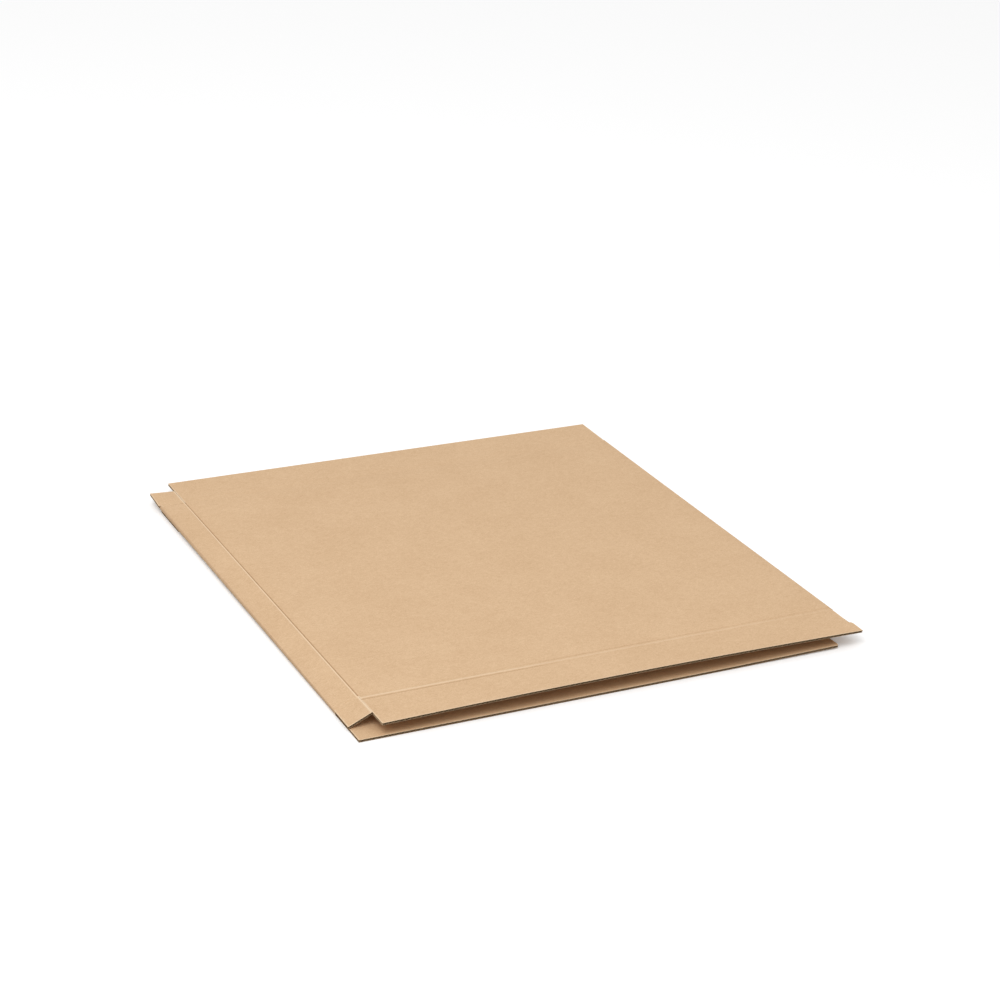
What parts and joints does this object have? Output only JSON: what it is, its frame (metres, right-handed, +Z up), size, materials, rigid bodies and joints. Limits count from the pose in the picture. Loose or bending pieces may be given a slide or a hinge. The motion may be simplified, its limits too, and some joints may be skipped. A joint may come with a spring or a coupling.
{
  "type": "flattened cardboard box",
  "caption": "Glued corrugated kraft box folded flat, a slim tube of creased board with flaps that fold back at both ends.",
  "frame": {"origin": "middle of the flat box on the surface that it lies on", "axes": "+Z up, +Y from the open front edge to the shut back edge along the flutes, +X to the right along the front edge"},
  "size_m": [0.631, 0.68, 0.0213],
  "materials": {
    "kraft_board": "matte kraft"
  },
  "bodies": {
    "box": {"box_body": "kraft_board"},
    "upper_front_flap": {"upper_front_flap": "kraft_board"},
    "upper_back_flap": {"upper_back_flap": "kraft_board"},
    "left_front_dust_flap": {"left_front_dust_flap": "kraft_board"},
    "left_back_dust_flap": {"left_back_dust_flap": "kraft_board"}
  },
  "joints": [
    {"name": "upper_front_flap_fold", "type": "hinge", "parent": "box", "child": "upper_front_flap", "pos_m": [0.01501, -0.28015, 0.01823], "axis": [-1, 0, 0], "range_deg": [0, 170]},
    {"name": "upper_back_flap_fold", "type": "hinge", "parent": "box", "child": "upper_back_flap", "pos_m": [0.01504, 0.28015, 0.01175], "axis": [1, 0, 0], "range_deg": [0, 170]},
    {"name": "left_front_dust_flap_fold", "type": "hinge", "parent": "box", "child": "left_front_dust_flap", "pos_m": [-0.29976, -0.28015, 0.01234], "axis": [-0.9162, 0, -0.4007], "range_deg": [0, 170]},
    {"name": "left_back_dust_flap_fold", "type": "hinge", "parent": "box", "child": "left_back_dust_flap", "pos_m": [-0.2976, 0.28015, 0.01109], "axis": [0.999, 0, 0.0453], "range_deg": [0, 170]}
  ]
}
